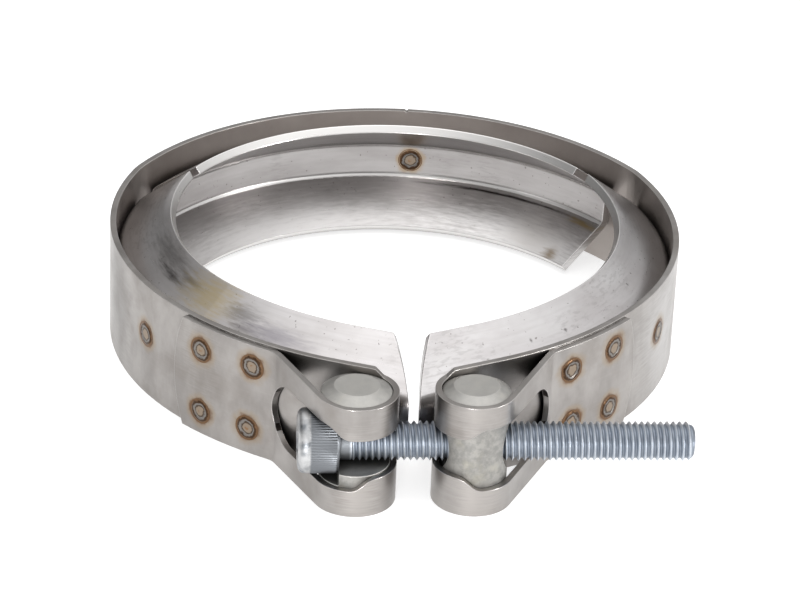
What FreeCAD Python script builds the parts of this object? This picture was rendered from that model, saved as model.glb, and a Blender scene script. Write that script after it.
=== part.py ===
# V band clamp: one folded strap, three V retainers, two trunnions and one M8 screw.
# Millimetres, +Z up. The origin is the centre of the V groove: the rear arc's axis, midway
# between the retainers' lips. The gap and the screw are at -Y, the screw runs along +X.
# Pieces are laid out with the strap's lower edge at Z = 0 and lowered onto the origin at the end.
import math
import os

import FreeCAD, Part

V = FreeCAD.Vector
UP = V(0, 0, 1)

# ---- strap ----
ring_radius = 63.3           # outer face of the strap on the rear and side arcs
strap_thickness = 1.25
strap_width = 25.0
flex_mid_deg = 27.0          # where the strap bends between two retainers
flex_turn_deg = 9.0
flex_radius = 20.0
shoulder_start_deg = -40.0   # side arc ends here and the flatter shoulder begins
shoulder_radius = 75.0
nick_deg = 84.5              # locating nick in the rear top edge
nick_radius = 0.3

# ---- folded loops and tabs ----
loop_spacing = 23.4          # between the two trunnion axes
shoulder_straight = 6.07     # flat run from the left shoulder to its loop
left_loop_bore = 7.10        # inner radius of each loop
right_loop_bore = 6.85
left_return_deg = 64.5       # direction of the outer layer on its way back
right_return_deg = 62.0
return_bend = 4.0            # bend between outer layer and tab
tab_gap = 0.05               # tab lies this close on the strap
tab_end_deg = -39.5          # middle of the tab's rounded end
tab_end_radius = 31.0
weld_radius = 2.2            # spot weld nuggets joining tab and strap
weld_rows_deg = (-45.0, -54.5)
weld_height = 7.0            # above and below the strap's centre line
left_edge_drop = 1.2         # the loop's top edge is lower than the strap's
right_edge_drop = 0.9
loop_edge_kink = 4.8         # from the trunnion axis toward the gap
kink_length = 1.6
edge_ramp_start = 3.0        # the outer layer's edge rises again, from the trunnion axis
edge_ramp_end = 15.0
tab_edge_drop = 0.4          # the tab's top edge stays a little below the strap's

# ---- windows in the loops ----
window_wide = 6.9            # half height where the screw head passes
window_narrow = 4.4          # half height toward the gap
window_reach = 19.1          # end of the window, measured along the outer layer
window_step = 3.0            # length of the slanted step between both heights
window_fillet = 3.5
left_upper_step = 4.0        # wide-to-narrow steps, from the trunnion axis
left_lower_step = -1.2
right_upper_step = -0.4
right_lower_step = -1.2

# ---- V retainers ----
retainer_thickness = 1.8
retainer_height = 26.0       # over both lips
retainer_raise = 1.25        # centre plane above the strap's centre line
groove_depth = 11.44         # base to lip, measured along the radius
leg_slope_deg = 36.5
fold_radius = 2.5            # centre line of the folds
seat_gap = 0.05              # between strap and retainer base
rear_right_end_deg = 35.5    # upper lip
rear_right_slant = 1.5       # the lower lip ends this much earlier
rear_left_end_deg = 146.0
front_start_deg = 23.5       # upper lip
front_slant = 7.5            # the lower lip starts this much later
gap_half = 1.0               # base of each front retainer to the centre plane
relief_radius = 22.0         # rounds the front retainer's end back toward the lips
relief_start = 2.5

# ---- trunnions ----
left_trunnion_radius = 7.00
right_trunnion_radius = 6.75
trunnion_end_radius = 4.5
trunnion_chamfer = 1.3
trunnion_end_gap = 0.1
notch_clearance = 0.2        # open slot of the left trunnion around the screw
seat_depth = 3.3             # head seat, from the left trunnion's axis
seat_clearance = 0.25

# ---- screw, M8 x 70 socket head ----
thread_diameter = 8.0
screw_length = 70.0
neck_diameter = 7.6
neck_length = 2.6
tip_chamfer = 0.9
head_diameter = 13.0
head_height = 8.0
head_edge = 0.9
bearing_edge = 0.3
head_bearing_gap = 0.01      # the head bears on the left trunnion's seat
hex_across_flats = 6.0
hex_depth = 4.0
thread_clearance = 0.06
countersink = 0.8

# ---- derived ----
strap_mid_z = strap_width / 2.0
retainer_mid_z = strap_mid_z + retainer_raise
screw_z = strap_mid_z
half_strap = strap_thickness / 2.0
trunnion_x = loop_spacing / 2.0
flex_start_deg = flex_mid_deg + flex_turn_deg / 2.0
flex_end_deg = flex_mid_deg - flex_turn_deg / 2.0
base_radius = ring_radius - strap_thickness - seat_gap


def unit(deg):
    return V(math.cos(math.radians(deg)), math.sin(math.radians(deg)), 0)


def left_of(heading_deg):
    return unit(heading_deg + 90.0)


def line_of_trunnions():
    """Y of both trunnion axes, set by the left loop's flat run to the shoulder."""
    reach = shoulder_radius + left_loop_bore
    span = math.hypot(reach, shoulder_straight)
    return shoulder_centre.y - math.sqrt(span ** 2 - (trunnion_x - shoulder_centre.x) ** 2)


side_centre = (unit(flex_start_deg) - unit(flex_end_deg)) * (ring_radius - flex_radius)
shoulder_centre = side_centre + unit(shoulder_start_deg) * (ring_radius - shoulder_radius)
screw_y = line_of_trunnions()
trunnion_point = V(trunnion_x, screw_y, 0)


def advance(point, heading, move):
    """One straight (length,) or curved (radius, turn) step of a path."""
    if len(move) == 1:
        return point + unit(heading) * move[0], heading
    radius, turn = move
    side = 1.0 if turn > 0 else -1.0
    centre = point + left_of(heading) * (side * radius)
    return centre - left_of(heading + turn) * (side * radius), heading + turn


def strip_face(point, heading, moves, thickness):
    """Flat strip of constant thickness whose middle line follows the moves."""
    half = thickness / 2.0
    left_edges = []
    right_edges = []
    first = (point, heading)
    for move in moves:
        end_point, end_heading = advance(point, heading, move)
        if len(move) == 2:
            mid_point, mid_heading = advance(point, heading, (move[0], move[1] / 2.0))
        for edges, offset in ((left_edges, half), (right_edges, -half)):
            start = point + left_of(heading) * offset
            end = end_point + left_of(end_heading) * offset
            if len(move) == 1:
                edges.append(Part.LineSegment(start, end).toShape())
            else:
                middle = mid_point + left_of(mid_heading) * offset
                edges.append(Part.Arc(start, middle, end).toShape())
        point, heading = end_point, end_heading
    start_cap = Part.LineSegment(first[0] + left_of(first[1]) * half,
                                 first[0] - left_of(first[1]) * half).toShape()
    end_cap = Part.LineSegment(point + left_of(heading) * half,
                               point - left_of(heading) * half).toShape()
    outline = Part.Wire(Part.__sortEdges__(left_edges + [end_cap] + right_edges + [start_cap]))
    return Part.Face(outline)


def shoulder_tangent(loop_radius):
    """Angle about the shoulder centre where the straight run to the loop begins."""
    span = trunnion_point - shoulder_centre
    reach = shoulder_radius - half_strap + loop_radius
    return math.degrees(math.atan2(span.y, span.x)) + math.degrees(math.acos(reach / span.Length))


def shoulder_run(loop_radius):
    """Length of the straight run from the shoulder to the loop."""
    span = trunnion_point - shoulder_centre
    reach = shoulder_radius - half_strap + loop_radius
    return math.sqrt(span.Length ** 2 - reach ** 2)


def polygon_prism(points, direction):
    return Part.Face(Part.makePolygon(points + [points[0]])).extrude(direction)


def box(x0, x1, y0, y1, z0, z1):
    return Part.makeBox(x1 - x0, y1 - y0, z1 - z0, V(x0, y0, z0))


def window_cutter(return_deg, upper_step, lower_step):
    """Opening of a right-hand loop: a narrow slot that widens toward the tab."""
    gap_x = 0.0
    ramp = window_step / 2.0
    tab_x = 2.0 * trunnion_x
    outline = [
        V(gap_x, screw_y, screw_z - window_narrow),
        V(trunnion_x + lower_step - ramp, screw_y, screw_z - window_narrow),
        V(trunnion_x + lower_step + ramp, screw_y, screw_z - window_wide),
        V(tab_x, screw_y, screw_z - window_wide),
        V(tab_x, screw_y, screw_z + window_wide),
        V(trunnion_x + upper_step + ramp, screw_y, screw_z + window_wide),
        V(trunnion_x + upper_step - ramp, screw_y, screw_z + window_narrow),
        V(gap_x, screw_y, screw_z + window_narrow),
    ]
    front = polygon_prism(outline, V(0, -strap_width, 0))
    steps = []
    for edge in front.Edges:
        middle = edge.CenterOfMass
        along = edge.tangentAt(edge.FirstParameter)
        near_step = abs(middle.x - trunnion_x) < window_reach / 2.0
        if abs(along.y) > 0.9 and near_step:
            steps.append(edge)
    front = front.makeFillet(window_fillet, steps)
    slot_end = Part.makeCylinder(window_narrow, trunnion_x, V(gap_x, screw_y, screw_z), V(1, 0, 0))
    along = unit(return_deg)
    outward = unit(return_deg - 90.0)
    centre = trunnion_point + V(0, 0, screw_z) + along * (window_reach - window_wide)
    round_end = Part.makeCylinder(window_wide, strap_width, centre, outward)
    corners = [
        trunnion_point + V(0, 0, screw_z - window_wide),
        trunnion_point + V(0, 0, screw_z + window_wide),
        centre + V(0, 0, window_wide),
        centre - V(0, 0, window_wide),
    ]
    run = polygon_prism(corners, outward * strap_width)
    return front.fuse([slot_end, round_end, run])


def strap_side(loop_bore, return_deg, edge_drop, upper_step, lower_step):
    """Right-hand half of the strap, from the rear centre to the tab's end."""
    loop_radius = loop_bore + half_strap
    mid_radius = ring_radius - half_strap
    tangent_deg = shoulder_tangent(loop_radius)
    ring_moves = [
        (mid_radius, flex_start_deg - 90.0),
        (flex_radius - half_strap, -flex_turn_deg),
        (mid_radius, shoulder_start_deg - flex_end_deg),
        (shoulder_radius - half_strap, tangent_deg - shoulder_start_deg),
        (shoulder_run(loop_radius),),
    ]
    point = V(0, mid_radius, 0)
    heading = 0.0
    ring = strip_face(point, heading, ring_moves, strap_thickness).extrude(UP * strap_width)
    for move in ring_moves:
        point, heading = advance(point, heading, move)

    along = unit(return_deg)
    outward = unit(return_deg - 90.0)
    tab_radius = shoulder_radius + tab_gap + half_strap
    aside = (trunnion_point - shoulder_centre).dot(outward) + loop_radius + return_bend
    ahead = -math.sqrt((tab_radius + return_bend) ** 2 - aside ** 2)
    bend_centre = shoulder_centre + outward * aside + along * ahead
    bend_arm = bend_centre - shoulder_centre
    contact_deg = math.degrees(math.atan2(bend_arm.y, bend_arm.x))
    run = (bend_centre - trunnion_point).dot(along)
    fold_moves = [
        (loop_radius, return_deg + 360.0 - (heading + 360.0) % 360.0),
        (run,),
        (return_bend, contact_deg + 90.0 - return_deg),
        (tab_radius, tab_end_deg + 2.0 - contact_deg),
    ]
    fold = strip_face(point, heading, fold_moves, strap_thickness).extrude(UP * strap_width)
    fold = fold.cut(window_cutter(return_deg, upper_step, lower_step))

    end_point = shoulder_centre + unit(tab_end_deg) * tab_radius
    end_along = left_of(tab_end_deg)
    through = unit(tab_end_deg) * strap_width
    end_axis = end_point - end_along * tab_end_radius + UP * strap_mid_z
    block_foot = end_point - end_along * (tab_end_radius / 5.0) - through / 2.0 - UP * strap_mid_z
    block_end = block_foot + end_along * strap_width
    block = polygon_prism([block_foot, block_end, block_end + UP * (2.0 * strap_width),
                           block_foot + UP * (2.0 * strap_width)], through)
    disc = Part.makeCylinder(tab_end_radius, strap_width, end_axis - through / 2.0,
                             unit(tab_end_deg))
    fold = fold.cut(block.cut(disc))

    low = strap_width - edge_drop
    tab_top = strap_width - tab_edge_drop
    above = strap_width + strap_thickness
    front = 2.0 * screw_y
    ramp_start_x = trunnion_x + edge_ramp_start
    ramp_end_x = trunnion_x + edge_ramp_end
    loop_top = box(0, ramp_start_x, front, screw_y, low, above)
    ramp = polygon_prism([
        V(ramp_start_x, front, low),
        V(ramp_end_x, front, tab_top),
        V(ramp_end_x, front, above),
        V(ramp_start_x, front, above)], V(0, -front, 0))
    tab_edge = box(ramp_end_x, ring_radius, front, 0, tab_top, above)
    kink_x = trunnion_x - loop_edge_kink
    kink = polygon_prism([
        V(0, screw_y, low),
        V(kink_x - kink_length / 2.0, screw_y, low),
        V(kink_x + kink_length / 2.0, screw_y, strap_width),
        V(kink_x + kink_length / 2.0, screw_y, above),
        V(0, screw_y, above)], V(0, strap_mid_z, 0))
    fold = fold.cut(loop_top.fuse([kink, ramp, tab_edge]))

    welds = []
    for weld_deg in weld_rows_deg:
        for level in (-weld_height, weld_height):
            foot = shoulder_centre + unit(weld_deg) * (shoulder_radius - half_strap)
            foot = foot + V(0, 0, strap_mid_z + level)
            welds.append(Part.makeCylinder(weld_radius, strap_thickness, foot, unit(weld_deg)))
    return ring.fuse([fold] + welds)


def mirrored(shape):
    return shape.mirror(V(0, 0, 0), V(1, 0, 0))


def make_strap():
    right = strap_side(right_loop_bore, right_return_deg, right_edge_drop,
                       right_upper_step, right_lower_step)
    left = strap_side(left_loop_bore, left_return_deg, left_edge_drop,
                      left_upper_step, left_lower_step)
    strap = right.fuse(mirrored(left))
    nick_foot = unit(nick_deg) * (ring_radius - 2.0 * strap_thickness) + UP * strap_width
    nick = Part.makeCylinder(nick_radius, 3.0 * strap_thickness, nick_foot, unit(nick_deg))
    return strap.cut(nick).removeSplitter()


def retainer_section():
    """V section in the XZ plane, outer face of the base at x = 0, legs toward -x."""
    mid = retainer_thickness / 2.0
    slope = math.radians(leg_slope_deg)
    base_half = retainer_height / 2.0 - groove_depth * math.tan(slope)
    turn = 90.0 - leg_slope_deg
    # middle line: corner shifts inward along the bisector of base and leg
    corner_shift = mid * math.tan(math.radians(turn / 2.0))
    trim = fold_radius * math.tan(math.radians(turn / 2.0))
    half_base = base_half - corner_shift
    leg = groove_depth / math.cos(slope) - corner_shift
    moves = [
        (leg - trim,),
        (fold_radius, turn),
        (2.0 * (half_base - trim),),
        (fold_radius, turn),
        (leg - trim,),
    ]
    lower_lip = V(-groove_depth, -retainer_height / 2.0, 0)
    start = lower_lip + V(-math.sin(slope), math.cos(slope), 0) * mid
    face = strip_face(start, leg_slope_deg, moves, retainer_thickness)
    return face.rotated(V(0, 0, 0), V(1, 0, 0), 90)


def swept_arc(section, centre, radius, from_deg, to_deg):
    """Section revolved about a vertical axis, its base face on the given radius."""
    placed = section.translated(V(radius, 0, retainer_mid_z))
    placed = placed.rotated(V(0, 0, 0), UP, from_deg).translated(centre)
    return placed.revolve(centre, UP, to_deg - from_deg)


def slant_cutter(centre, end_deg, side, slant):
    """Wedge that sets the lower lip of a retainer's end back; side is the way the body lies."""
    into = left_of(end_deg) * side
    foot = centre + unit(end_deg) * (base_radius - 2.0 * groove_depth)
    low = foot + UP * (retainer_mid_z - retainer_height / 2.0)
    high = foot + UP * (retainer_mid_z + retainer_height / 2.0)
    points = [high, low + into * slant, low - into * slant, high - into * slant]
    return polygon_prism(points, unit(end_deg) * (3.0 * groove_depth))


def make_rear_retainer(section):
    body = swept_arc(section, V(0, 0, 0), base_radius, rear_right_end_deg, rear_left_end_deg)
    return body.cut(slant_cutter(V(0, 0, 0), rear_right_end_deg, 1.0, rear_right_slant))


def make_front_retainer(section, loop_bore):
    """Right-hand front retainer: side arc, shoulder and a straight end at the gap."""
    tangent_deg = shoulder_tangent(loop_bore + half_strap)
    inset = ring_radius - base_radius
    shoulder_base = shoulder_radius - inset
    side = swept_arc(section, side_centre, base_radius, shoulder_start_deg, front_start_deg)
    side = side.cut(slant_cutter(side_centre, front_start_deg, -1.0, front_slant))
    shoulder = swept_arc(section, shoulder_centre, shoulder_base, tangent_deg, shoulder_start_deg)
    placed = section.translated(V(shoulder_base, 0, retainer_mid_z))
    placed = placed.rotated(V(0, 0, 0), UP, tangent_deg).translated(shoulder_centre)
    tail = placed.extrude(unit(tangent_deg - 90.0) * ring_radius)
    front = 2.0 * screw_y
    back = screw_y / 2.0
    trim = box(-ring_radius, gap_half, front, back, -strap_width, 2.0 * strap_width)
    body = side.fuse([shoulder, tail]).cut(trim)
    for sign in (1.0, -1.0):
        bend_z = retainer_mid_z + sign * relief_start
        end_z = bend_z + sign * retainer_height
        corner = box(0, gap_half + relief_radius / 2.0, front, back,
                     min(bend_z, end_z), max(bend_z, end_z))
        keep = Part.makeCylinder(relief_radius, back - front,
                                 V(gap_half + relief_radius, front, bend_z), V(0, 1, 0))
        body = body.cut(corner.cut(keep))
    return body.removeSplitter()


def trunnion_blank(radius):
    bottom = trunnion_end_gap
    top = strap_width - trunnion_end_gap
    profile = [
        V(0, 0, bottom),
        V(trunnion_end_radius, 0, bottom),
        V(radius, 0, bottom + trunnion_chamfer),
        V(radius, 0, top - trunnion_chamfer),
        V(trunnion_end_radius, 0, top),
        V(0, 0, top),
    ]
    blank = Part.Face(Part.makePolygon(profile + [profile[0]])).revolve(V(0, 0, 0), UP, 360)
    return blank


def make_left_trunnion():
    """Trunnion open to the front, so that the screw can be swung out of it."""
    slot = thread_diameter / 2.0 + notch_clearance
    seat = head_diameter / 2.0 + seat_clearance
    body = trunnion_blank(left_trunnion_radius)
    past = 2.0 * left_trunnion_radius
    channel = box(-past, past, -past, 0, screw_z - slot, screw_z + slot)
    back = Part.makeCylinder(slot, 2.0 * past, V(-past, 0, screw_z), V(1, 0, 0))
    pocket = box(-past, -seat_depth, -past, past, screw_z - seat, screw_z + seat)
    body = body.cut(channel.fuse([back, pocket]))
    return body.translated(V(-trunnion_x, screw_y, 0))


def make_right_trunnion():
    """Trunnion with the tapped cross hole."""
    bore = thread_diameter / 2.0 + thread_clearance
    body = trunnion_blank(right_trunnion_radius)
    past = 2.0 * right_trunnion_radius
    hole = Part.makeCylinder(bore, 2.0 * past, V(-past, 0, screw_z), V(1, 0, 0))
    flare = 3.0 * countersink
    mouth = right_trunnion_radius - 2.0 * countersink
    sinks = []
    for sign in (1.0, -1.0):
        sinks.append(Part.makeCone(bore, bore + flare, flare,
                                   V(sign * mouth, 0, screw_z), V(sign, 0, 0)))
    body = body.cut(hole.fuse(sinks))
    return body.translated(V(trunnion_x, screw_y, 0))


def make_screw():
    bearing_x = -trunnion_x - seat_depth - head_bearing_gap
    head_r = head_diameter / 2.0
    thread_r = thread_diameter / 2.0
    neck_r = neck_diameter / 2.0
    points = [
        V(-head_height, 0, 0),
        V(-head_height, 0, head_r - head_edge),
        V(-head_height + head_edge, 0, head_r),
        V(-bearing_edge, 0, head_r),
        V(0, 0, head_r - bearing_edge),
        V(0, 0, neck_r),
        V(neck_length, 0, neck_r),
        V(neck_length + thread_r - neck_r, 0, thread_r),
        V(screw_length - tip_chamfer, 0, thread_r),
        V(screw_length, 0, thread_r - tip_chamfer),
        V(screw_length, 0, 0),
    ]
    body = Part.Face(Part.makePolygon(points + [points[0]])).revolve(V(0, 0, 0), V(1, 0, 0), 360)
    corners = []
    for index in range(6):
        angle = math.radians(30.0 + 60.0 * index)
        reach = hex_across_flats / 2.0 / math.cos(math.radians(30.0))
        corners.append(V(-head_height, reach * math.cos(angle), reach * math.sin(angle)))
    socket = polygon_prism(corners, V(hex_depth, 0, 0))
    body = body.cut(socket)
    return body.translated(V(bearing_x, screw_y, screw_z))


section = retainer_section()
nodes = {
    "strap": make_strap(),
    "retainer_rear": make_rear_retainer(section),
    "retainer_front_left": mirrored(make_front_retainer(section, left_loop_bore)),
    "retainer_front_right": make_front_retainer(section, right_loop_bore),
    "trunnion_left": make_left_trunnion(),
    "trunnion_right": make_right_trunnion(),
    "screw": make_screw(),
}

lowered = V(0, 0, -retainer_mid_z)
os.makedirs("parts", exist_ok=True)
for name, shape in nodes.items():
    shape.translated(lowered).exportStep("parts/" + name + ".step")
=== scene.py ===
import math

import bpy
from mathutils import Matrix, Vector


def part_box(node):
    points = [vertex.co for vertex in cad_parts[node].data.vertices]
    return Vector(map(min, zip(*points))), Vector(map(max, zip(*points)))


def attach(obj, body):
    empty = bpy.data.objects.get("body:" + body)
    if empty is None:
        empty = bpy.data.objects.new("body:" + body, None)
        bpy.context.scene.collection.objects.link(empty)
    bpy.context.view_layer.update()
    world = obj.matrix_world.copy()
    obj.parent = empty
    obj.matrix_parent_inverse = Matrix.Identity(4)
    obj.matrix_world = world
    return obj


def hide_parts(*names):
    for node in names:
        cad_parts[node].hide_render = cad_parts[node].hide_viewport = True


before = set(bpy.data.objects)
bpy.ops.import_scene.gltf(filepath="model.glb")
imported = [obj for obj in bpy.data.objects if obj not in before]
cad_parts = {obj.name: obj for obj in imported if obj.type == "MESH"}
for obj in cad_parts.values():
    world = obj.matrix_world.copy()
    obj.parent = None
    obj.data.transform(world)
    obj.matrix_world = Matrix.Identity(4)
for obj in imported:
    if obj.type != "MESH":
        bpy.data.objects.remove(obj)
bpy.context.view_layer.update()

MM = 0.001        # lengths below are metres, written as millimetres times MM

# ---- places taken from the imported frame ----
strap_low, strap_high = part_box("strap")
screw_low, screw_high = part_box("screw")
screw_axis = Vector((0.0, (screw_low.y + screw_high.y) / 2, (screw_low.z + screw_high.z) / 2))
floor_z = strap_low.z
ring_radius = strap_high.y

# ---- shape of the ring, as the strap is bent ----
FLEX_DEG = (31.5, 22.5)
FLEX_RADIUS = 20.0 * MM
SHOULDER_DEG = -40.0
SHOULDER_RADIUS = 75.0 * MM
STRAP_THICKNESS = 1.25 * MM
TAB_GAP = 0.05 * MM
RETAINER_THICKNESS = 1.8 * MM
SEAT_GAP = 0.05 * MM
BASE_RADIUS = ring_radius - STRAP_THICKNESS - SEAT_GAP
LOOPS_END_X = 20.2 * MM       # the loops lie within this distance of the centre plane
LOOPS_BACK_Y = -44.0 * MM     # and the inside of the ring begins behind this

# ---- screw ----
HEAD_HEIGHT = 8.0 * MM
HEAD_RADIUS = (screw_high.z - screw_low.z) / 2
NECK_RADIUS = 3.8 * MM
NECK_LENGTH = 2.6 * MM
THREAD_PITCH = 1.25 * MM
THREAD_CREST = 3.93 * MM
THREAD_ROOT = 3.30 * MM
TIP_LENGTH = 1.0 * MM
SOCKET_RADIUS = 3.0 * MM / math.cos(math.radians(30))
SOCKET_DEPTH = 4.0 * MM
# Straight knurling, about 0.54 mm from line to line round the head. Its depth is a guess,
# chosen so that the lines show.
KNURL_LINES = 76
KNURL_DEPTH = 0.16 * MM

# ---- camera, in the frame of the clamp ----
CAMERA_PLACE = Vector((-54.0, -671.0, 348.05)) * MM
CAMERA_RIGHT = Vector((0.99733, -0.06171, 0.03894))
CAMERA_FORWARD = Vector((0.07274, 0.88293, -0.46385))
CAMERA_LENS = 160.9


def unit(deg):
    """Direction in the plane of the ring."""
    return Vector((math.cos(math.radians(deg)), math.sin(math.radians(deg)), 0.0))


side_centre = (unit(FLEX_DEG[0]) - unit(FLEX_DEG[1])) * (ring_radius - FLEX_RADIUS)
shoulder_centre = side_centre + unit(SHOULDER_DEG) * (ring_radius - SHOULDER_RADIUS)


# ---------------------------------------------------------------- small helpers
def deselect():
    bpy.ops.object.select_all(action="DESELECT")


def pick(obj):
    deselect()
    obj.select_set(True)
    bpy.context.view_layer.objects.active = obj


def linear(hex_colour):
    """sRGB hex to linear RGBA."""
    values = []
    for i in (1, 3, 5):
        c = int(hex_colour[i:i + 2], 16) / 255
        values.append(c / 12.92 if c <= 0.04045 else ((c + 0.055) / 1.055) ** 2.4)
    return (*values, 1.0)


def node(tree, kind, inputs=None, output=0, **settings):
    """Adds one node with its settings, fills or links its inputs, and gives one output."""
    new = tree.nodes.new(kind)
    for name, value in settings.items():
        setattr(new, name, value)
    for socket, value in (inputs or {}).items():
        if isinstance(value, bpy.types.NodeSocket):
            tree.links.new(value, new.inputs[socket])
        else:
            new.inputs[socket].default_value = value
    return new.outputs[output] if new.outputs else new


def new_finish(name):
    """An empty material with nodes."""
    material = bpy.data.materials.new(name)
    material.use_nodes = True
    material.node_tree.nodes.clear()
    return material, material.node_tree


# ---------------------------------------------------------------- places of the spot welds
WELD_RADIUS = 2.75 * MM
# angle about the shoulder's centre and height of each tab weld
TAB_WELDS_RIGHT = ((-45.2, 6.2), (-54.4, 5.4), (-45.4, -7.4), (-53.8, -6.8))
TAB_WELDS_LEFT = ((-45.3, 5.3), (-55.1, 6.1), (-45.3, -8.7), (-54.4, -8.1))
TAB_FACE = SHOULDER_RADIUS + TAB_GAP + STRAP_THICKNESS


def outside_weld(centre, radius, deg, z, side):
    """Place, facing and curvature of a weld on the outside, on the right or the left half."""
    point = centre + unit(deg) * radius
    facing = unit(deg)
    return Vector((side * point.x, point.y, z * MM)), Vector((side * facing.x, facing.y, 0)), radius


strap_welds = [outside_weld(shoulder_centre, TAB_FACE, deg, z, 1.0) for deg, z in TAB_WELDS_RIGHT]
strap_welds += [outside_weld(shoulder_centre, TAB_FACE, deg, z, -1.0) for deg, z in TAB_WELDS_LEFT]
strap_welds += [outside_weld(side_centre, ring_radius, -27.0, 0.5, 1.0),
                outside_weld(side_centre, ring_radius, -28.4, 0.0, -1.0),
                outside_weld(Vector(), ring_radius, 83.2, 0.0, 1.0)]
rear_inner_weld = (unit(83.2) * (BASE_RADIUS - RETAINER_THICKNESS), -unit(83.2),
                   RETAINER_THICKNESS - BASE_RADIUS)


# ---------------------------------------------------------------- marks shared by finishes
def unrolled(tree):
    """Length round the ring, from the rear, and height: sheet is drawn and rubbed that way."""
    place = node(tree, "ShaderNodeTexCoord", output="Object")
    parts = node(tree, "ShaderNodeSeparateXYZ", {0: place}).node
    turned = node(tree, "ShaderNodeMath", {0: parts.outputs["X"], 1: parts.outputs["Y"]},
                  operation="ARCTAN2")
    length = node(tree, "ShaderNodeMath", {0: turned, 1: ring_radius}, operation="MULTIPLY")
    return node(tree, "ShaderNodeCombineXYZ", {"X": length, "Y": parts.outputs["Z"]})


def drawn_streaks(tree, sheet, length, width):
    """Fine lines along the sheet: each about `length` long and `width` wide. The lines that
    rolling and drawing leave are too fine to show, so these are coarser."""
    scaled = node(tree, "ShaderNodeVectorMath", {0: sheet, 1: (1 / length, 1 / width, 0.0)},
                  operation="MULTIPLY")
    return node(tree, "ShaderNodeTexNoise", {"Vector": scaled, "Scale": 1.0, "Detail": 4.0,
                                             "Roughness": 0.6})


def sheared_edge(tree, radius):
    """Rounds the shading at cut edges, and tells how near the surface is to one."""
    rounded = node(tree, "ShaderNodeBevel", {"Radius": radius}, samples=8)
    flat = node(tree, "ShaderNodeNewGeometry", output="Normal")
    alike = node(tree, "ShaderNodeVectorMath", {0: rounded, 1: flat}, "Value",
                 operation="DOT_PRODUCT")
    near = node(tree, "ShaderNodeMapRange", {"Value": alike, "From Min": 0.995, "From Max": 0.85})
    return rounded, near


def facing_from_axis(tree, place, flat):
    """How far a face looks away from the ring's axis: 1 outwards, -1 inwards, 0 for cut ends."""
    level_place = node(tree, "ShaderNodeVectorMath", {0: place, 1: (1.0, 1.0, 0.0)},
                       operation="MULTIPLY")
    outward = node(tree, "ShaderNodeVectorMath", {0: level_place}, operation="NORMALIZE")
    return node(tree, "ShaderNodeVectorMath", {0: flat, 1: outward}, "Value",
                operation="DOT_PRODUCT")


def painted_shade_and_grime_in_corners(tree, skin, reach, shade_and_grime_colour, strength, within_piece=False):
    """Painted shade, with some oily dirt, where two sheets meet: the more hemmed in, the darker."""
    open_share = node(tree, "ShaderNodeAmbientOcclusion", {"Distance": reach}, "AO", samples=8,
                      only_local=within_piece)
    share = node(tree, "ShaderNodeMapRange", {"Value": open_share, "From Min": 0.66,
                                              "From Max": 0.2, "To Max": strength})
    return node(tree, "ShaderNodeMix", {0: share, 6: skin, 7: linear(shade_and_grime_colour)}, 2, data_type="RGBA")


def heat_tint(tree, skin, centres, near, far, tint, strength):
    """Ragged ring of annealing colour round each spot weld."""
    place = node(tree, "ShaderNodeTexCoord", output="Object")
    closest = None
    for centre in centres:
        away = node(tree, "ShaderNodeVectorMath", {0: place, 1: tuple(centre)}, "Value",
                    operation="DISTANCE")
        if closest is None:
            closest = away
        else:
            closest = node(tree, "ShaderNodeMath", {0: closest, 1: away}, operation="MINIMUM")
    ragged = node(tree, "ShaderNodeTexNoise", {"Vector": place, "Scale": 1 / (2.2 * MM),
                                               "Detail": 3.0})
    shift = node(tree, "ShaderNodeMath", {0: ragged, 1: 2.0 * MM, 2: closest},
                 operation="MULTIPLY_ADD")
    share = node(tree, "ShaderNodeMapRange", {"Value": shift, "From Min": far + MM,
                                              "From Max": near + MM, "To Max": strength},
                 interpolation_type="SMOOTHSTEP")
    return node(tree, "ShaderNodeMix", {0: share, 6: skin, 7: linear(tint)}, 2, data_type="RGBA")


def stains_and_painted_light(tree, skin, sheet, marks):
    """Stains, rubbed patches and broad patches of painted reflection and painted shade: (length round
    the ring, height, half length, half height, colour, strength), in millimetres on the unrolled
    sheet."""
    ragged = drawn_streaks(tree, sheet, 5.0 * MM, 0.4 * MM)
    for length, height, half_length, half_height, colour, strength in marks:
        offset = node(tree, "ShaderNodeVectorMath", {0: sheet, 1: (length * MM, height * MM, 0)},
                      operation="SUBTRACT")
        scaled = node(tree, "ShaderNodeVectorMath",
                      {0: offset, 1: (1000 / half_length, 1000 / half_height, 0)},
                      operation="MULTIPLY")
        away = node(tree, "ShaderNodeVectorMath", {0: scaled}, "Value", operation="LENGTH")
        uneven = node(tree, "ShaderNodeMath", {0: ragged, 1: 1.8, 2: away},
                      operation="MULTIPLY_ADD")
        share = node(tree, "ShaderNodeMapRange", {"Value": uneven, "From Min": 2.2,
                                                  "From Max": 0.9, "To Max": strength},
                     interpolation_type="SMOOTHSTEP")
        skin = node(tree, "ShaderNodeMix", {0: share, 6: skin, 7: linear(colour)}, 2,
                    data_type="RGBA")
    return skin


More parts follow.
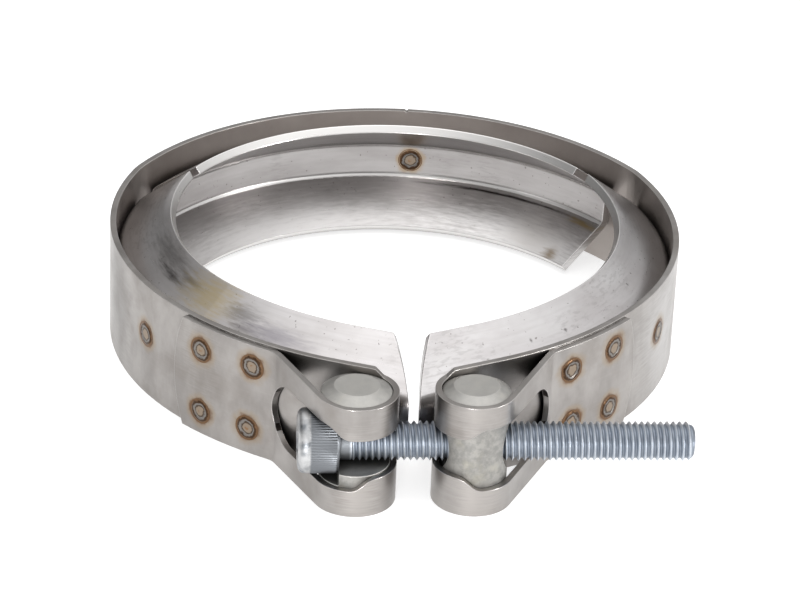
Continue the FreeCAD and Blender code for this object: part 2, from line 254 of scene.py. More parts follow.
# ---------------------------------------------------------------- finishes
def satin_stainless_strip(marks):
    """Cold-rolled stainless strip, dull and slightly warm grey. Faint lines run along it, with soft
    clouds; its cut edges carry a painted highlight and the punched walls of its windows are painted
    dark as shade. Inside the ring it is browner, each spot weld has burnt it, painted shade darkens
    its hollows, and its marks add broad patches of painted reflection and painted shade."""
    material, tree = new_finish("satin_stainless_strip")
    sheet = unrolled(tree)
    lines = drawn_streaks(tree, sheet, 12 * MM, 0.45 * MM)
    bands = drawn_streaks(tree, sheet, 9 * MM, 16 * MM)
    place = node(tree, "ShaderNodeTexCoord", output="Object")
    clouds = node(tree, "ShaderNodeTexNoise", {"Vector": place, "Scale": 1 / (7 * MM),
                                               "Detail": 4.0})
    dark, light = linear("#8f8b88"), linear("#a5a19e")
    even = node(tree, "ShaderNodeMapRange", {"Value": bands, "From Min": 0.3, "From Max": 0.7},
                interpolation_type="SMOOTHSTEP")
    skin = node(tree, "ShaderNodeMix", {0: even, 6: dark, 7: light}, 2, data_type="RGBA")
    cloudy = node(tree, "ShaderNodeMapRange", {"Value": clouds, "From Min": 0.45,
                                               "From Max": 0.7, "To Max": 0.45},
                  interpolation_type="SMOOTHSTEP")
    skin = node(tree, "ShaderNodeMix", {0: cloudy, 6: skin, 7: linear("#87817c")}, 2,
                data_type="RGBA")
    scored = node(tree, "ShaderNodeMapRange", {"Value": lines, "From Min": 0.5, "From Max": 0.8,
                                               "To Max": 0.12})
    skin = node(tree, "ShaderNodeMix", {0: scored, 6: skin, 7: linear("#b5b0ac")}, 2,
                data_type="RGBA")
    flat = node(tree, "ShaderNodeNewGeometry", output="Normal")
    outward = node(tree, "ShaderNodeVectorMath", {0: flat, 1: place}, "Value",
                   operation="DOT_PRODUCT")
    facing_in = node(tree, "ShaderNodeMapRange", {"Value": outward, "From Min": -0.02,
                                                  "From Max": -0.05})
    parts = node(tree, "ShaderNodeSeparateXYZ", {0: place}).node
    behind_screw = node(tree, "ShaderNodeMapRange", {
        "Value": parts.outputs["Y"], "From Min": LOOPS_BACK_Y - 8 * MM,
        "From Max": LOOPS_BACK_Y})
    inside = node(tree, "ShaderNodeMath", {0: facing_in, 1: behind_screw}, operation="MULTIPLY")
    brown = node(tree, "ShaderNodeMix", {0: clouds, 6: linear("#968f8a"), 7: linear("#bdb6b1")}, 2,
                 data_type="RGBA")
    skin = node(tree, "ShaderNodeMix", {0: inside, 6: skin, 7: brown}, 2, data_type="RGBA")
    radial = facing_from_axis(tree, place, flat)
    upright = node(tree, "ShaderNodeSeparateXYZ", {0: flat}, "Z")
    # cut walls of the windows and ends of the tabs, beside the loops, are painted dark: painted shade
    across = node(tree, "ShaderNodeMath", {0: radial, 1: -0.1, 2: 0.62}, operation="COMPARE")
    not_top = node(tree, "ShaderNodeMath", {0: upright, 1: 0.0, 2: 0.7}, operation="COMPARE")
    past_loops = node(tree, "ShaderNodeMath", {
        0: node(tree, "ShaderNodeMath", {0: parts.outputs["X"]}, operation="ABSOLUTE"),
        1: LOOPS_END_X}, operation="GREATER_THAN")
    wall = node(tree, "ShaderNodeMath", {
        0: node(tree, "ShaderNodeMath", {0: across, 1: not_top}, operation="MULTIPLY"),
        1: past_loops}, operation="MULTIPLY")
    skin = node(tree, "ShaderNodeMix", {0: wall, 6: skin, 7: linear("#3b3531")}, 2,
                data_type="RGBA")
    skin = stains_and_painted_light(tree, skin, sheet, marks)
    centres = [centre for centre, _, _ in strap_welds]
    skin = heat_tint(tree, skin, centres, 2.9 * MM, 4.6 * MM, "#958268", 0.5)
    skin = heat_tint(tree, skin, centres, 2.4 * MM, 3.3 * MM, "#6b4f39", 0.85)
    skin = painted_shade_and_grime_in_corners(tree, skin, 6 * MM, "#1f1916", 0.95, within_piece=True)
    # cut edges get a painted highlight, at half strength
    rounded, near_edge = sheared_edge(tree, 0.28 * MM)
    painted_edge_highlight = node(tree, "ShaderNodeMath", {0: near_edge, 1: 0.5}, operation="MULTIPLY")
    skin = node(tree, "ShaderNodeMix", {0: painted_edge_highlight, 6: skin, 7: linear("#dedbd8")}, 2,
                data_type="RGBA")
    rough = node(tree, "ShaderNodeMapRange", {"Value": clouds, "From Min": 0.3, "From Max": 0.7,
                                              "To Min": 0.30, "To Max": 0.40})
    relief = node(tree, "ShaderNodeBump", {"Height": lines, "Strength": 0.07,
                                           "Distance": 0.03 * MM, "Normal": rounded})
    shader = node(tree, "ShaderNodeBsdfPrincipled", {"Base Color": skin, "Roughness": rough,
                                                     "Metallic": 1.0, "Normal": relief})
    node(tree, "ShaderNodeOutputMaterial", {"Surface": shader})
    return material


def formed_stainless_sheet(name, dark, light, marks):
    """Stainless sheet rolled into the V: smoother and brighter than the strip, with drawing
    lines round the ring, small pits, scuffs, rubbed marks and straw stains, and on the rear retainer
    broad painted reflections and a painted dark line. Its lips and its sheared edges away from the gap
    carry a painted highlight, the sheared edges at the gap are dark, and painted shade darkens its
    corners."""
    material, tree = new_finish(name)
    sheet = unrolled(tree)
    lines = drawn_streaks(tree, sheet, 40 * MM, 0.6 * MM)
    broad = drawn_streaks(tree, sheet, 30 * MM, 7 * MM)
    place = node(tree, "ShaderNodeTexCoord", output="Object")
    even = node(tree, "ShaderNodeMapRange", {"Value": broad, "From Min": 0.3, "From Max": 0.7},
                interpolation_type="SMOOTHSTEP")
    skin = node(tree, "ShaderNodeMix", {0: even, 6: linear(dark), 7: linear(light)}, 2,
                data_type="RGBA")
    scored = node(tree, "ShaderNodeMapRange", {"Value": lines, "From Min": 0.45, "From Max": 0.8,
                                               "To Max": 0.22})
    skin = node(tree, "ShaderNodeMix", {0: scored, 6: skin, 7: linear("#98938f")}, 2,
                data_type="RGBA")
    specks = node(tree, "ShaderNodeTexNoise", {"Vector": place, "Scale": 1 / (0.7 * MM),
                                               "Detail": 1.0})
    pitted = node(tree, "ShaderNodeMapRange", {"Value": specks, "From Min": 0.72,
                                               "From Max": 0.78, "To Max": 0.7})
    skin = node(tree, "ShaderNodeMix", {0: pitted, 6: skin, 7: linear("#6f6a66")}, 2,
                data_type="RGBA")
    scratches = drawn_streaks(tree, sheet, 3.0 * MM, 0.5 * MM)
    patches = node(tree, "ShaderNodeTexNoise", {"Vector": place, "Scale": 1 / (14 * MM),
                                                "Detail": 1.0})
    scratched = node(tree, "ShaderNodeMapRange", {"Value": scratches, "From Min": 0.5,
                                                  "From Max": 0.6, "To Max": 0.22})
    in_patch = node(tree, "ShaderNodeMapRange", {"Value": patches, "From Min": 0.5,
                                                 "From Max": 0.6})
    scuffed = node(tree, "ShaderNodeMath", {0: scratched, 1: in_patch}, operation="MULTIPLY")
    skin = node(tree, "ShaderNodeMix", {0: scuffed, 6: skin, 7: linear("#7c7977")}, 2,
                data_type="RGBA")
    skin = stains_and_painted_light(tree, skin, sheet, marks)
    flat = node(tree, "ShaderNodeNewGeometry", output="Normal")
    radial = facing_from_axis(tree, place, flat)
    # the lips, which look steeply inwards, get a painted highlight
    lip = node(tree, "ShaderNodeMath", {0: radial, 1: -0.8, 2: 0.12}, operation="COMPARE")
    skin = node(tree, "ShaderNodeMix", {0: lip, 6: skin, 7: linear("#e9e7e5")}, 2,
                data_type="RGBA")
    skin = heat_tint(tree, skin, [rear_inner_weld[0]], 2.6 * MM, 3.8 * MM, "#a58f70", 0.7)
    skin = painted_shade_and_grime_in_corners(tree, skin, 2.5 * MM, "#2a2421", 0.7)
    gap = (0.0, -60 * MM, 0.0)
    from_gap = node(tree, "ShaderNodeVectorMath", {0: place, 1: gap}, "Value",
                    operation="DISTANCE")
    # sheared edges within about 15 mm of the middle of the gap are dark, the others get a painted
    # highlight
    at_gap = node(tree, "ShaderNodeMapRange", {"Value": from_gap, "From Min": 16 * MM,
                                               "From Max": 14.5 * MM})
    burr_and_edge_highlight = node(tree, "ShaderNodeMix", {0: at_gap, 6: linear("#e6e4e2"), 7: linear("#3f3a37")}, 2,
                data_type="RGBA")
    rounded, near_edge = sheared_edge(tree, 0.35 * MM)
    skin = node(tree, "ShaderNodeMix", {0: near_edge, 6: skin, 7: burr_and_edge_highlight}, 2, data_type="RGBA")
    rough = node(tree, "ShaderNodeMapRange", {"Value": lines, "From Min": 0.3, "From Max": 0.7,
                                              "To Min": 0.27, "To Max": 0.33})
    relief = node(tree, "ShaderNodeBump", {"Height": lines, "Strength": 0.07,
                                           "Distance": 0.03 * MM, "Normal": rounded})
    shader = node(tree, "ShaderNodeBsdfPrincipled", {"Base Color": skin, "Roughness": rough,
                                                     "Metallic": 1.0, "Normal": relief})
    node(tree, "ShaderNodeOutputMaterial", {"Surface": shader})
    return material


def dull_zinc_plate():
    """Turned steel with a dull zinc plate: grey with straw clouds, with painted light on the faces
    that look up at its ends, a painted highlight on its edges, painted shade in its corners, and
    turning rings on its side, drawn half a millimetre wide so that they show."""
    material, tree = new_finish("dull_zinc_plate")
    place = node(tree, "ShaderNodeTexCoord", output="Object")
    clouds = node(tree, "ShaderNodeTexNoise", {"Vector": place, "Scale": 1 / (1.7 * MM),
                                               "Detail": 5.0, "Roughness": 0.65})
    squeezed = node(tree, "ShaderNodeVectorMath", {0: place, 1: (1 / (5 * MM), 1 / (5 * MM),
                                                                  1 / (0.5 * MM))},
                    operation="MULTIPLY")
    rings = node(tree, "ShaderNodeTexNoise", {"Vector": squeezed, "Scale": 1.0, "Detail": 2.0})
    even = node(tree, "ShaderNodeMapRange", {"Value": clouds, "From Min": 0.35,
                                             "From Max": 0.65}, interpolation_type="SMOOTHSTEP")
    skin = node(tree, "ShaderNodeMix", {0: even, 6: linear("#8d8c89"), 7: linear("#a5a39f")}, 2,
                data_type="RGBA")
    tinted = node(tree, "ShaderNodeTexNoise", {"Vector": place, "Scale": 1 / (4 * MM),
                                               "Detail": 3.0}, "Color")
    straw = node(tree, "ShaderNodeMapRange", {"Value": tinted, "From Min": 0.5, "From Max": 0.7,
                                              "To Max": 0.25}, interpolation_type="SMOOTHSTEP")
    skin = node(tree, "ShaderNodeMix", {0: straw, 6: skin, 7: linear("#c4bda6")}, 2,
                data_type="RGBA")
    upright = node(tree, "ShaderNodeSeparateXYZ", {
        0: node(tree, "ShaderNodeNewGeometry", output="Normal")}, "Z")
    # the chamfers and the flat ends, which look up, are painted paler: painted light
    for level, colour in ((0.5, "#c6c4c0"), (0.93, "#b5b3af")):
        end_face = node(tree, "ShaderNodeMapRange", {"Value": upright, "From Min": level - 0.04,
                                                     "From Max": level + 0.04, "To Max": 0.45})
        skin = node(tree, "ShaderNodeMix", {0: end_face, 6: skin, 7: linear(colour)}, 2,
                    data_type="RGBA")
    skin = painted_shade_and_grime_in_corners(tree, skin, 3 * MM, "#2b2926", 0.7)
    # edges get a painted highlight
    rounded, near_edge = sheared_edge(tree, 0.35 * MM)
    skin = node(tree, "ShaderNodeMix", {0: near_edge, 6: skin, 7: linear("#e2e1dc")}, 2,
                data_type="RGBA")
    rough = node(tree, "ShaderNodeMapRange", {"Value": clouds, "From Min": 0.3, "From Max": 0.7,
                                              "To Min": 0.46, "To Max": 0.58})
    relief = node(tree, "ShaderNodeBump", {"Height": rings, "Strength": 0.2,
                                           "Distance": 0.03 * MM, "Normal": rounded})
    shader = node(tree, "ShaderNodeBsdfPrincipled", {"Base Color": skin, "Roughness": rough,
                                                     "Metallic": 1.0, "Normal": relief})
    node(tree, "ShaderNodeOutputMaterial", {"Surface": shader})
    return material


def blue_zinc_plate():
    """Rolled screw with blue-passivated zinc: cool grey and soft, with a painted highlight on the
    thread's crests, painted shade in its roots and corners, and paler on the scuffed end of the head."""
    material, tree = new_finish("blue_zinc_plate")
    place = node(tree, "ShaderNodeTexCoord", output="Object")
    clouds = node(tree, "ShaderNodeTexNoise", {"Vector": place, "Scale": 1 / (3 * MM),
                                               "Detail": 4.0})
    fine = node(tree, "ShaderNodeTexNoise", {"Vector": place, "Scale": 1 / (0.35 * MM),
                                             "Detail": 3.0})
    even = node(tree, "ShaderNodeMapRange", {"Value": clouds, "From Min": 0.3, "From Max": 0.7})
    skin = node(tree, "ShaderNodeMix", {0: even, 6: linear("#a1a9b4"), 7: linear("#bac1ca")}, 2,
                data_type="RGBA")
    from_axis = node(tree, "ShaderNodeVectorMath", {
        0: node(tree, "ShaderNodeVectorMath", {0: place, 1: tuple(screw_axis)},
                operation="SUBTRACT"), 1: (0.0, 1.0, 1.0)}, operation="MULTIPLY")
    reach = node(tree, "ShaderNodeVectorMath", {0: from_axis}, "Value", operation="LENGTH")
    # the crests get a painted highlight
    crest = node(tree, "ShaderNodeMapRange", {"Value": reach, "From Min": THREAD_CREST - 0.3 * MM,
                                              "From Max": THREAD_CREST, "To Max": 0.75})
    skin = node(tree, "ShaderNodeMix", {0: crest, 6: skin, 7: linear("#dadde1")}, 2,
                data_type="RGBA")
    # the roots get painted shade
    root = node(tree, "ShaderNodeMapRange", {"Value": reach, "From Min": THREAD_ROOT + 0.25 * MM,
                                             "From Max": THREAD_ROOT, "To Max": 0.6})
    skin = node(tree, "ShaderNodeMix", {0: root, 6: skin, 7: linear("#5f6672")}, 2,
                data_type="RGBA")
    along = node(tree, "ShaderNodeSeparateXYZ", {0: place}, "X")
    on_head = node(tree, "ShaderNodeMapRange", {"Value": along,
                                                "From Min": screw_low.x + HEAD_HEIGHT + 2.4 * MM,
                                                "From Max": screw_low.x + HEAD_HEIGHT + 2.0 * MM})
    skin = node(tree, "ShaderNodeMix", {0: on_head, 6: skin, 7: linear("#7f8286")}, 2,
                data_type="RGBA")
    at_end = node(tree, "ShaderNodeMapRange", {"Value": along, "From Min": screw_low.x + 2.6 * MM,
                                               "From Max": screw_low.x + 2.2 * MM})
    scratched = node(tree, "ShaderNodeMapRange", {"Value": clouds, "From Min": 0.35,
                                                  "From Max": 0.6, "To Max": 0.8})
    scuffed = node(tree, "ShaderNodeMath", {0: at_end, 1: scratched}, operation="MULTIPLY")
    skin = node(tree, "ShaderNodeMix", {0: scuffed, 6: skin, 7: linear("#d6d6d6")}, 2,
                data_type="RGBA")
    skin = painted_shade_and_grime_in_corners(tree, skin, 2.5 * MM, "#1f2126", 0.5)
    relief = node(tree, "ShaderNodeBump", {"Height": fine, "Strength": 0.3,
                                           "Distance": 0.03 * MM})
    rough = node(tree, "ShaderNodeMapRange", {"Value": fine, "From Min": 0.3, "From Max": 0.7,
                                              "To Min": 0.38, "To Max": 0.52})
    shader = node(tree, "ShaderNodeBsdfPrincipled", {"Base Color": skin, "Roughness": rough,
                                                     "Metallic": 1.0, "Normal": relief})
    node(tree, "ShaderNodeOutputMaterial", {"Surface": shader})
    return material


def burnt_weld_metal():
    """Spot weld: remelted stainless, brown at the centre and dull tan round it, then a grey
    ring between two dark brown grooves, and a brown rim."""
    material, tree = new_finish("burnt_weld_metal")
    from_centre = node(tree, "ShaderNodeAttribute", output="Fac", attribute_name="from_centre")
    place = node(tree, "ShaderNodeTexCoord", output="Object")
    fine = node(tree, "ShaderNodeTexNoise", {"Vector": place, "Scale": 1 / (1.1 * MM),
                                             "Detail": 4.0})
    uneven = node(tree, "ShaderNodeMath", {0: fine, 1: 0.42, 2: from_centre},
                  operation="MULTIPLY_ADD")
    skin = linear("#86684d")
    for reach, colour in ((0.32, "#8d7f70"), (0.60, "#463a31"), (0.70, "#7d7975"),
                          (0.86, "#463528"), (1.04, "#6f5641")):
        share = node(tree, "ShaderNodeMapRange", {"Value": uneven, "From Min": reach - 0.04,
                                                  "From Max": reach + 0.04})
        skin = node(tree, "ShaderNodeMix", {0: share, 6: skin, 7: linear(colour)}, 2,
                    data_type="RGBA")
    relief = node(tree, "ShaderNodeBump", {"Height": fine, "Strength": 0.3,
                                           "Distance": 0.08 * MM})
    shader = node(tree, "ShaderNodeBsdfPrincipled", {"Base Color": skin, "Roughness": 0.34,
                                                     "Metallic": 1.0, "Normal": relief})
    node(tree, "ShaderNodeOutputMaterial", {"Surface": shader})
    return material


# ---------------------------------------------------------------- screw
def helical_sheet():
    """The thread as one sheet rolled round the screw, each column shifted by its share of a
    pitch, so that its crests run as a right-hand helix."""
    columns = 48
    # share of the pitch and radius: flat root, rising flank, rounded crest
    profile = ((0.0, THREAD_ROOT), (0.25, THREAD_ROOT), (0.5625, THREAD_CREST - 0.06 * MM),
               (0.625, THREAD_CREST), (0.6875, THREAD_CREST - 0.06 * MM))
    start = screw_low.x + HEAD_HEIGHT + NECK_LENGTH
    end = screw_high.x
    turns = int((end - start) / THREAD_PITCH) + 3
    rows = turns * len(profile)
    bpy.ops.mesh.primitive_grid_add(x_subdivisions=columns, y_subdivisions=rows, size=1.0)
    sheet = bpy.context.object
    for vertex in sheet.data.vertices:
        column = round((vertex.co.x + 0.5) * columns)
        row = round((vertex.co.y + 0.5) * rows)
        share, radius = profile[row % len(profile)]
        x = start + (row // len(profile) - 2 + share + column / columns) * THREAD_PITCH
        tip = THREAD_CREST - max(0.0, x - (end - TIP_LENGTH))
        angle = 2 * math.pi * column / columns
        reach = min(radius, tip)
        vertex.co = (x, screw_axis.y + reach * math.cos(angle), screw_axis.z + reach * math.sin(angle))
    return sheet


def trim_ends(obj, low_x, high_x):
    """Cuts a rolled sheet square at both ends and closes it."""
    pick(obj)
    bpy.ops.object.mode_set(mode="EDIT")
    bpy.ops.mesh.select_all(action="SELECT")
    bpy.ops.mesh.remove_doubles(threshold=0.002 * MM)
    for x, normal in ((low_x, (-1, 0, 0)), (high_x, (1, 0, 0))):
        bpy.ops.mesh.select_all(action="SELECT")
        bpy.ops.mesh.bisect(plane_co=(x, 0, 0), plane_no=normal, use_fill=True, clear_outer=True)
    bpy.ops.mesh.select_all(action="SELECT")
    bpy.ops.mesh.normals_make_consistent(inside=False)
    bpy.ops.object.mode_set(mode="OBJECT")


def lathe_row(points, columns, groove):
    """A turned shape along the screw: rows of (x, radius, share of the groove's depth)."""
    rows = len(points) - 1
    bpy.ops.mesh.primitive_grid_add(x_subdivisions=columns, y_subdivisions=rows, size=1.0)
    body = bpy.context.object
    for vertex in body.data.vertices:
        column = round((vertex.co.x + 0.5) * columns)
        x, radius, depth = points[round((vertex.co.y + 0.5) * rows)]
        reach = radius - depth * groove * (column % 2)
        angle = 2 * math.pi * column / columns
        vertex.co = (screw_low.x + x, screw_axis.y + reach * math.cos(angle),
                     screw_axis.z + reach * math.sin(angle))
    return body


def make_head():
    """Socket head with straight knurling and a rounded end, and the plain neck."""
    head = lathe_row((
        (0.0, SOCKET_RADIUS + 0.2 * MM, 0.0), (0.0, 5.1 * MM, 0.0), (0.12 * MM, 5.6 * MM, 0.0),
        (0.45 * MM, 6.1 * MM, 0.0), (0.9 * MM, HEAD_RADIUS - 0.1 * MM, 0.0),
        (2.0 * MM, HEAD_RADIUS, 0.0), (2.3 * MM, HEAD_RADIUS, 1.0),
        (7.3 * MM, HEAD_RADIUS, 1.0), (7.5 * MM, HEAD_RADIUS - 0.05 * MM, 0.0),
        (7.75 * MM, HEAD_RADIUS - 0.15 * MM, 0.0), (8.0 * MM, HEAD_RADIUS - 0.4 * MM, 0.0),
        (8.0 * MM, NECK_RADIUS + 0.3 * MM, 0.0), (8.3 * MM, NECK_RADIUS, 0.0),
        (10.5 * MM, NECK_RADIUS, 0.0), (10.8 * MM, THREAD_ROOT, 0.0)), KNURL_LINES * 2, KNURL_DEPTH)
    trim_ends(head, screw_low.x - MM, screw_low.x + 10.75 * MM)
    pick(head)
    bpy.ops.object.mode_set(mode="EDIT")
    bpy.ops.mesh.select_all(action="DESELECT")
    bpy.ops.mesh.select_mode(type="EDGE")
    bpy.ops.mesh.select_non_manifold(extend=False)
    bpy.ops.mesh.edge_face_add()
    bpy.ops.mesh.select_all(action="SELECT")
    bpy.ops.mesh.normals_make_consistent(inside=False)
    bpy.ops.object.mode_set(mode="OBJECT")
    deselect()
    bpy.ops.mesh.primitive_cylinder_add(
        vertices=6, radius=SOCKET_RADIUS, depth=2 * SOCKET_DEPTH,
        location=(screw_low.x, screw_axis.y, screw_axis.z), rotation=(0, math.pi / 2, 0))
    socket = bpy.context.object
    cut = head.modifiers.new("socket", "BOOLEAN")
    cut.operation = "DIFFERENCE"
    cut.object = socket
    pick(head)
    bpy.ops.object.modifier_apply(modifier="socket")
    bpy.data.objects.remove(socket)
    return head


def make_screw():
    """The rolled thread and the turned head, joined as the one screw."""
    thread = helical_sheet()
    trim_ends(thread, screw_low.x + HEAD_HEIGHT + NECK_LENGTH - 0.3 * MM, screw_high.x)
    head = make_head()
    deselect()
    thread.select_set(True)
    head.select_set(True)
    bpy.context.view_layer.objects.active = head
    bpy.ops.object.join()
    head.name = "threaded_screw"
    pick(head)
    bpy.ops.object.shade_smooth_by_angle(angle=math.radians(30))
    return head


# ---------------------------------------------------------------- spot welds
def make_weld(centre, facing, radius):
    """A round electrode mark: burnt groove, raised ring, inner groove and a dished middle.
    Each step goes inwards and up or down, in millimetres."""
    steps = ((0.25, -0.03), (0.2, 0.05), (0.2, 0.11), (0.25, 0.02), (0.25, -0.12), (0.15, -0.05),
             (0.25, 0.06), (0.45, 0.02), (0.35, -0.03))
    deselect()
    bpy.ops.mesh.primitive_cylinder_add(vertices=36, radius=WELD_RADIUS, depth=0.3 * MM,
                                        location=(0, 0, -0.15 * MM))
    weld = bpy.context.object
    bpy.ops.object.transform_apply(location=True)
    for face in weld.data.polygons:
        face.select = face.normal.z > 0.5
    bpy.ops.object.mode_set(mode="EDIT")
    for width, rise in steps:
        bpy.ops.mesh.inset(thickness=width * MM, depth=rise * MM)
    bpy.ops.object.mode_set(mode="OBJECT")
    share = weld.data.attributes.new("from_centre", "FLOAT", "POINT")
    share.data.foreach_set("value", [v.co.xy.length / WELD_RADIUS for v in weld.data.vertices])
    turn = Matrix((Vector((0, 0, 1)).cross(facing), Vector((0, 0, 1)), facing)).transposed()
    for vertex in weld.data.vertices:
        sag = math.copysign(abs(radius) - math.sqrt(radius * radius - vertex.co.x ** 2), radius)
        vertex.co.z -= sag - 0.03 * MM
        vertex.co = turn @ vertex.co + centre
    return weld


def make_spot_welds():
    """All visible weld marks as one piece."""
    bpy.context.tool_settings.mesh_select_mode = (False, False, True)
    marks = [make_weld(*place) for place in strap_welds + [rear_inner_weld]]
    deselect()
    for mark in marks:
        mark.select_set(True)
    bpy.context.view_layer.objects.active = marks[0]
    bpy.ops.object.join()
    marks[0].name = "spot_welds"
    bpy.ops.object.shade_smooth_by_angle(angle=math.radians(50))
    return marks[0]


# ---------------------------------------------------------------- dressing the clamp
# Entries of the tables below: length round the ring from the rear, height, half length, half height,
# colour and strength. The gap is at plus and minus 199 mm. The broad pale and dark patches on the
# strap and on the rear retainer's lower leg are painted reflections and painted shade.
# Strap: painted reflections on the fronts of the loops and on its right side, and painted shade on one
# side of the left loop and on two places on the left.
strap_painted_light = (
    (-189.5, -9.5, 4.5, 14.0, "#b5b0ac", 0.8),
    (189.0, -9.5, 4.5, 14.0, "#b3aeaa", 0.8),
    (189.0, 8.0, 5.0, 6.0, "#b5b0ac", 0.5),
    (-195.0, -1.0, 2.2, 20.0, "#6b6663", 0.6),
    (122.0, 0.0, 14.0, 20.0, "#b9b7b6", 0.7),
    (-109.0, 0.0, 10.0, 20.0, "#6f6b68", 0.6),
    (-148.0, 2.0, 6.0, 9.0, "#7d7771", 0.5),
)
# Rear retainer: paler lower leg as painted reflection, a dark line along its lower fold as painted
# shade, a straw stain along that fold, a brown spot.
rear_stains_and_painted_light = (
    (-30.0, -10.6, 75.0, 5.0, "#cfcdcc", 0.75),
    (45.0, -10.6, 34.0, 5.0, "#e0dedd", 0.85),
    (31.0, -4.7, 24.0, 0.28, "#26221f", 1.0),
    (54.5, -5.0, 5.0, 0.6, "#a08a58", 0.8),
    (52.0, -10.8, 2.6, 1.2, "#7a6546", 0.8),
    (44.0, -9.4, 9.0, 3.0, "#a8a29c", 0.4),
)
# Left retainer: dark scuffs, a straw stain and grey patches on its upper leg.
left_marks = (
    (-112.0, 11.2, 15.0, 1.6, "#5d5957", 0.6),
    (-120.0, 9.6, 9.0, 0.7, "#383432", 0.75),
    (-128.0, 10.6, 7.0, 0.5, "#45403d", 0.6),
    (-137.0, 10.4, 12.0, 3.4, "#c0ad80", 0.7),
    (-150.5, 10.2, 7.0, 1.5, "#6d6967", 0.6),
    (-153.0, 8.4, 6.0, 0.9, "#75706e", 0.6),
    (-162.0, 9.0, 12.0, 1.6, "#85818a", 0.6),
)
# Right retainer: three small pits on its upper leg.
right_marks = (
    (166.2, 9.2, 0.5, 0.3, "#4a4643", 0.8),
    (154.6, 8.9, 0.6, 0.3, "#4a4643", 0.7),
    (123.3, 9.3, 0.5, 0.3, "#55504c", 0.7),
)
zinc = dull_zinc_plate()
finishes = {
    "strap": satin_stainless_strip(strap_painted_light),
    "retainer_rear": formed_stainless_sheet(
        "formed_stainless_rear", "#a29e9d", "#b5b2b1", rear_stains_and_painted_light),
    "retainer_front_left": formed_stainless_sheet(
        "formed_stainless_left", "#bab6b5", "#cdcaca", left_marks),
    "retainer_front_right": formed_stainless_sheet(
        "formed_stainless_right", "#bab6b6", "#cdcbcb", right_marks),
    "trunnion_left": zinc,
    "trunnion_right": zinc,
}
for name, finish in finishes.items():
    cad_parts[name].material_slots[0].material = finish

deselect()
screw = make_screw()
screw.data.materials.clear()
screw.data.materials.append(blue_zinc_plate())
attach(screw, "clamping_screw")
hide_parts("screw")

welds = make_spot_welds()
welds.data.materials.clear()
welds.data.materials.append(burnt_weld_metal())
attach(welds, "clamp_ring")


# ---------------------------------------------------------------- floor, lights and camera
def make_floor():
    """Pale paper: white to the camera and in the metal, and darker only in the shadow."""
    deselect()
    bpy.ops.mesh.primitive_plane_add(size=6.0, location=(0, 0, floor_z - 0.05 * MM))
    floor = bpy.context.object
    floor.name = "floor"
    material, tree = new_finish("pale_paper")
    rays = node(tree, "ShaderNodeLightPath").node
    seen = node(tree, "ShaderNodeMath", {0: rays.outputs["Is Camera Ray"],
                                         1: rays.outputs["Is Glossy Ray"]}, operation="MAXIMUM")
    seen = node(tree, "ShaderNodeMath", {0: seen, 1: rays.outputs["Is Transmission Ray"]},
                operation="MAXIMUM")
    paper = node(tree, "ShaderNodeBsdfDiffuse", {"Color": linear("#c8c8c8")})
    lift = node(tree, "ShaderNodeEmission", {"Color": (1, 1, 1, 1), "Strength": 0.72})
    lifted = node(tree, "ShaderNodeAddShader", {0: paper, 1: lift})
    mixed = node(tree, "ShaderNodeMixShader", {0: seen, 1: paper, 2: lifted})
    node(tree, "ShaderNodeOutputMaterial", {"Surface": mixed})
    floor.data.materials.append(material)


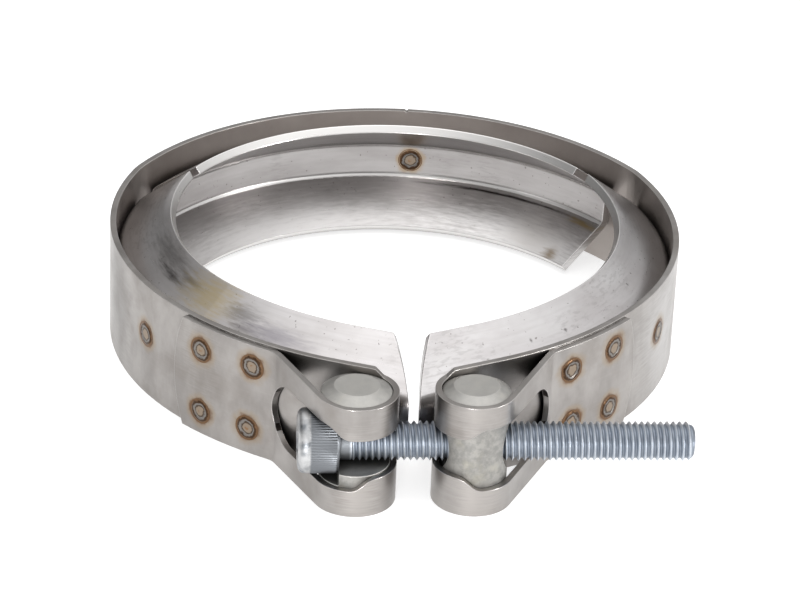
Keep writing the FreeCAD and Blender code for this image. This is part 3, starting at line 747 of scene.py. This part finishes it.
def make_world():
    """Grey room, lighter overhead and to the right; the camera sees it white."""
    world = bpy.data.worlds.new("studio")
    bpy.context.scene.world = world
    world.use_nodes = True
    tree = world.node_tree
    tree.nodes.clear()
    direction = node(tree, "ShaderNodeTexCoord", output="Generated")
    parts = node(tree, "ShaderNodeSeparateXYZ", {0: direction}).node
    ramp = node(tree, "ShaderNodeValToRGB", {0: parts.outputs["Z"]})
    ramp.node.color_ramp.elements[0].color = (0.28, 0.28, 0.28, 1)
    ramp.node.color_ramp.elements[1].color = (1.6, 1.6, 1.6, 1)
    for position, level in ((0.2, 0.40), (0.46, 0.78), (0.68, 1.0), (0.88, 1.5)):
        element = ramp.node.color_ramp.elements.new(position)
        element.color = (level, level, level, 1)
    lit_side = node(tree, "ShaderNodeMapRange", {"Value": parts.outputs["X"], "From Min": -0.8,
                                                 "From Max": 0.6, "To Min": 0.35,
                                                 "To Max": 1.15})
    overhead = node(tree, "ShaderNodeMapRange", {"Value": parts.outputs["Z"], "From Min": 0.6,
                                                 "From Max": 0.92})
    level = node(tree, "ShaderNodeMix", {0: overhead, 2: lit_side, 3: 1.0})
    seen = node(tree, "ShaderNodeLightPath", output="Is Camera Ray")
    white = node(tree, "ShaderNodeBackground", {"Color": (1, 1, 1, 1), "Strength": 1.0})
    room = node(tree, "ShaderNodeBackground", {"Color": ramp, "Strength": level})
    mixed = node(tree, "ShaderNodeMixShader", {0: seen, 1: room, 2: white})
    node(tree, "ShaderNodeOutputWorld", {"Surface": mixed})


def make_lamp(name, place, size, watts):
    """Rectangular soft lamp, aimed at the clamp's centre."""
    data = bpy.data.lights.new(name, "AREA")
    data.shape = "RECTANGLE"
    data.size, data.size_y = size
    data.energy = watts
    lamp = bpy.data.objects.new(name, data)
    lamp.location = place
    lamp.rotation_euler = (-Vector(place)).to_track_quat("-Z", "Y").to_euler()
    bpy.context.scene.collection.objects.link(lamp)


def make_camera():
    """Long lens, looking down on the gap from the front."""
    data = bpy.data.cameras.new("camera")
    data.sensor_width = 36.0
    data.lens = CAMERA_LENS
    data.clip_start = 0.01
    camera = bpy.data.objects.new("camera", data)
    right = CAMERA_RIGHT.normalized()
    forward = CAMERA_FORWARD.normalized()
    up = right.cross(forward).normalized()
    basis = Matrix((right, up, -forward)).transposed().to_4x4()
    basis.translation = CAMERA_PLACE
    camera.matrix_world = basis
    bpy.context.scene.collection.objects.link(camera)
    bpy.context.scene.camera = camera


make_floor()
make_world()
make_lamp("softbox_top", (0.03, -0.12, 0.75), (0.55, 0.45), 0.25)
make_lamp("strip_front", (-0.13, -0.60, 0.05), (0.06, 0.12), 1.5)
make_lamp("strip_left", (-0.62, -0.32, 0.16), (0.10, 0.30), 0.3)
make_lamp("strip_right", (0.62, -0.36, 0.12), (0.10, 0.24), 2.0)
make_camera()
bpy.context.scene.view_settings.view_transform = "Standard"
